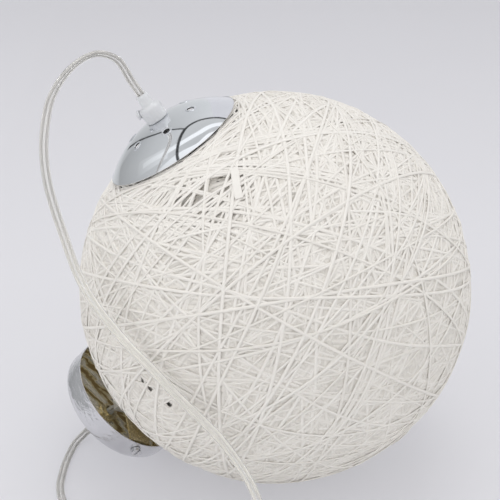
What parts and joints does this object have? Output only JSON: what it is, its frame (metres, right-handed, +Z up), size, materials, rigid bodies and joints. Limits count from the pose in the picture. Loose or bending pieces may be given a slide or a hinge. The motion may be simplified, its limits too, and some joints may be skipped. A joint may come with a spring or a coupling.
{
  "type": "string globe pendant light",
  "caption": "Pendant light with a wound string globe shade, a domed vented cap, a lampholder and bulb inside, a flat twin cord and a ceiling canopy lying beside it.",
  "frame": {"origin": "middle of the small flat that the globe rests on, on the table under the globe's centre", "axes": "+Z up from the table, -Y towards the front of the scene, -X towards the canopy that leans on the globe"},
  "size_m": [0.3001, 0.3167, 0.3197],
  "materials": {
    "string": "matt white glued string",
    "chrome": "polished chrome plate, tarnished brown inside",
    "nylon": "translucent white nylon",
    "zinc_steel": "zinc plated steel",
    "screw_steel": "plated screws",
    "holder_plastic": "white moulded plastic",
    "porcelain": "white glazed porcelain",
    "contact_brass": "pressed brass",
    "bulb_white": "opal white",
    "bulb_metal": "bright screw base",
    "black_plastic": "black",
    "block_plastic": "natural white",
    "clear_cord": "clear soft sheath over two bright stranded wires"
  },
  "bodies": {
    "lamp": {"string_globe": "string", "globe_cap": "chrome", "cap_grip": "nylon", "cap_tube": "zinc_steel", "cap_nut": "zinc_steel", "carrier_bar": "zinc_steel", "carrier_nut": "zinc_steel", "holder_cap": "holder_plastic", "holder_skirt": "holder_plastic", "holder_insert": "porcelain", "screw_shell": "contact_brass", "centre_contact": "contact_brass", "holder_terminals": "contact_brass", "holder_terminal_screws": "screw_steel", "holder_leads": "clear_cord", "cap_cord": "clear_cord", "canopy_shell": "chrome", "canopy_grip": "nylon", "canopy_tube": "zinc_steel", "canopy_nut": "zinc_steel", "ceiling_bracket": "zinc_steel", "terminal_block": "block_plastic", "terminal_screws": "screw_steel", "canopy_leads": "clear_cord", "canopy_cord": "clear_cord", "cord_loop": "clear_cord", "cord_coil": "clear_cord", "cord_tail": "clear_cord", "coil_tie": "black_plastic"},
    "bulb": {"bulb_glass": "bulb_white", "bulb_base": "bulb_metal", "bulb_insulator": "black_plastic", "bulb_button": "bulb_metal"},
    "cap_clamp": {"cap_clamp_screw": "nylon"},
    "canopy_clamp": {"canopy_clamp_screw": "nylon"},
    "front_screw": {"side_screw_front": "screw_steel"},
    "back_screw": {"side_screw_back": "screw_steel"}
  },
  "joints": [
    {"name": "bulb_out", "type": "slide", "parent": "lamp", "child": "bulb", "axis": [0.5327, -0.0701, -0.8434], "range_m": [0, 0.028]},
    {"name": "cap_clamp_out", "type": "slide", "parent": "lamp", "child": "cap_clamp", "axis": [-0.8362, 0.1101, -0.5373], "range_m": [0, 0.003]},
    {"name": "canopy_clamp_out", "type": "slide", "parent": "lamp", "child": "canopy_clamp", "axis": [-0.7376, 0.0906, 0.6691], "range_m": [0, 0.003]},
    {"name": "front_screw_out", "type": "slide", "parent": "lamp", "child": "front_screw", "axis": [0.2263, -0.9255, -0.3038], "range_m": [0, 0.008]},
    {"name": "back_screw_out", "type": "slide", "parent": "lamp", "child": "back_screw", "axis": [-0.2263, 0.9255, 0.3038], "range_m": [0, 0.008]}
  ]
}
